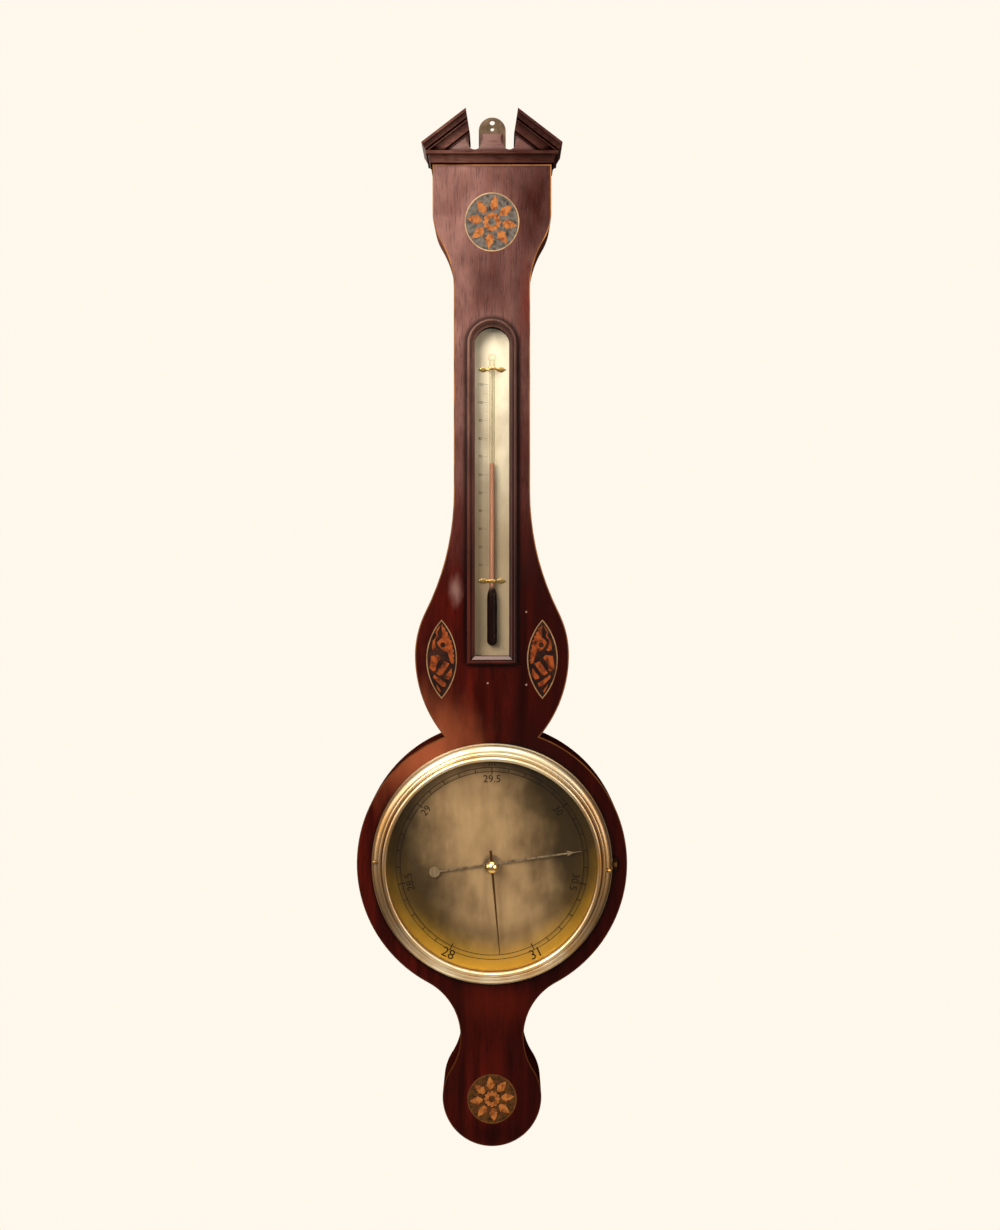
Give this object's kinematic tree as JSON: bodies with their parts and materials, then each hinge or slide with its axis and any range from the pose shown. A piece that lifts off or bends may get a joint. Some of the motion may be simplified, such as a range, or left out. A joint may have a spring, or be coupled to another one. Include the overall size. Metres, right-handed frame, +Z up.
{
  "type": "banjo barometer",
  "caption": "Wheel barometer in an inlaid banjo-shaped wooden case, with a round dial, a boxed thermometer and a broken pediment, hung on a wall.",
  "frame": {"origin": "centre of the hanging hole, on the back plane of the case", "axes": "+Z up along the case, -Y out of the dial's front, +Y into the wall, +X to the viewer's right"},
  "size_m": [0.252, 0.063, 0.9724],
  "materials": {
    "carcass_mahogany": "waxed mahogany, plain grain",
    "veneer_mahogany": "french polished mahogany veneer",
    "moulding_mahogany": "polished mahogany moulding",
    "boxwood": "boxwood line under polish",
    "satinwood": "boxwood shaded in hot sand",
    "patera_ground": "green stained veneer",
    "shell_ground": "dark stained veneer",
    "brass_sheet": "lacquered sheet brass",
    "brass_cast": "turned and polished brass",
    "silvered_brass": "silvered brass, aged and lacquered",
    "steel": "plain steel",
    "pane_glass": "clear flat glass",
    "tube_glass": "clear drawn glass",
    "float_glass": "glass float",
    "mercury": "liquid mercury",
    "red_spirit": "red spirit",
    "silk": "twisted silk thread",
    "cork": "cork"
  },
  "bodies": {
    "case": {"case_carcass": "carcass_mahogany", "front_veneer": "veneer_mahogany", "edge_stringing": "boxwood", "cornice_moulding": "moulding_mahogany", "raking_cornice_left": "moulding_mahogany", "raking_cornice_right": "moulding_mahogany", "tympanum": "moulding_mahogany", "hanging_plate": "brass_sheet", "hanging_plate_screws": "brass_sheet", "patera_grounds": "patera_ground", "patera_rims": "boxwood", "patera_flowers": "satinwood", "shell_grounds": "shell_ground", "shell_rims": "boxwood", "shell_figures": "satinwood", "thermometer_box": "carcass_mahogany", "thermometer_frame": "moulding_mahogany", "thermometer_glass": "pane_glass", "thermometer_scale": "silvered_brass", "thermometer_tube": "tube_glass", "thermometer_spirit": "red_spirit", "thermometer_clips": "brass_sheet", "scale_screws": "brass_sheet", "dial_plate": "silvered_brass", "dial_screws": "brass_sheet", "bezel_hinge_leaf": "brass_cast", "bezel_hinge_pin": "brass_cast", "arbor_plate": "brass_sheet", "arbor_cock": "brass_sheet", "cock_screws": "steel", "siphon_tube": "tube_glass", "mercury_bend": "mercury", "mercury_long": "mercury", "mercury_short": "mercury", "tube_pads": "cork", "trunk_cover": "carcass_mahogany", "foot_cover": "carcass_mahogany", "cover_screws": "steel", "door_frame_leaves": "brass_sheet", "door_hinge_pins": "brass_sheet", "button_screw": "steel", "thread_wrap": "silk", "float_thread": "silk", "weight_thread": "silk"},
    "index": {"index_arbor": "steel", "index_pulley": "brass_sheet", "index_hand": "steel"},
    "float": {"float": "float_glass"},
    "counterweight": {"counterweight": "brass_sheet"},
    "bezel": {"bezel": "brass_cast", "dial_glass": "pane_glass", "glass_retainer": "brass_sheet", "bezel_catch": "brass_cast"},
    "set_hand": {"set_hand": "brass_cast", "set_knob": "brass_cast", "set_collar": "brass_sheet"},
    "door": {"back_door": "carcass_mahogany", "door_leaves": "brass_sheet"},
    "button": {"turn_button": "brass_sheet"}
  },
  "joints": [
    {"name": "index_spin", "type": "hinge", "parent": "case", "child": "index", "pos_m": [0, -0.012, -0.704], "axis": [0, 1, 0], "range_deg": [-236, 72]},
    {"name": "float_slide", "type": "slide", "parent": "case", "child": "float", "axis": [0, 0, 1], "range_m": [-0.0091, 0.0294], "deforming": ["float_thread", "mercury_short"]},
    {"name": "counterweight_slide", "type": "slide", "parent": "case", "child": "counterweight", "axis": [0, 0, 1], "range_m": [-0.0294, 0.0091], "deforming": ["weight_thread", "mercury_long"]},
    {"name": "bezel_hinge", "type": "hinge", "parent": "case", "child": "bezel", "pos_m": [0.1146, -0.0458, -0.704], "axis": [0, 0, 1], "range_deg": [0, 100]},
    {"name": "set_hand_spin", "type": "hinge", "parent": "bezel", "child": "set_hand", "pos_m": [0, -0.05, -0.704], "axis": [0, 1, 0], "continuous": true},
    {"name": "door_hinge", "type": "hinge", "parent": "case", "child": "door", "pos_m": [-0.0463, -0.002, -0.704], "axis": [0, 0, 1], "range_deg": [0, 90]},
    {"name": "button_turn", "type": "hinge", "parent": "case", "child": "button", "pos_m": [0.054, -0.0015, -0.7125], "axis": [0, 1, 0], "range_deg": [0, 90]}
  ],
  "couplings": [
    {"joint": "float_slide", "follows": "index_spin", "m_per_rad": -0.0071},
    {"joint": "counterweight_slide", "follows": "index_spin", "m_per_rad": 0.0071}
  ]
}
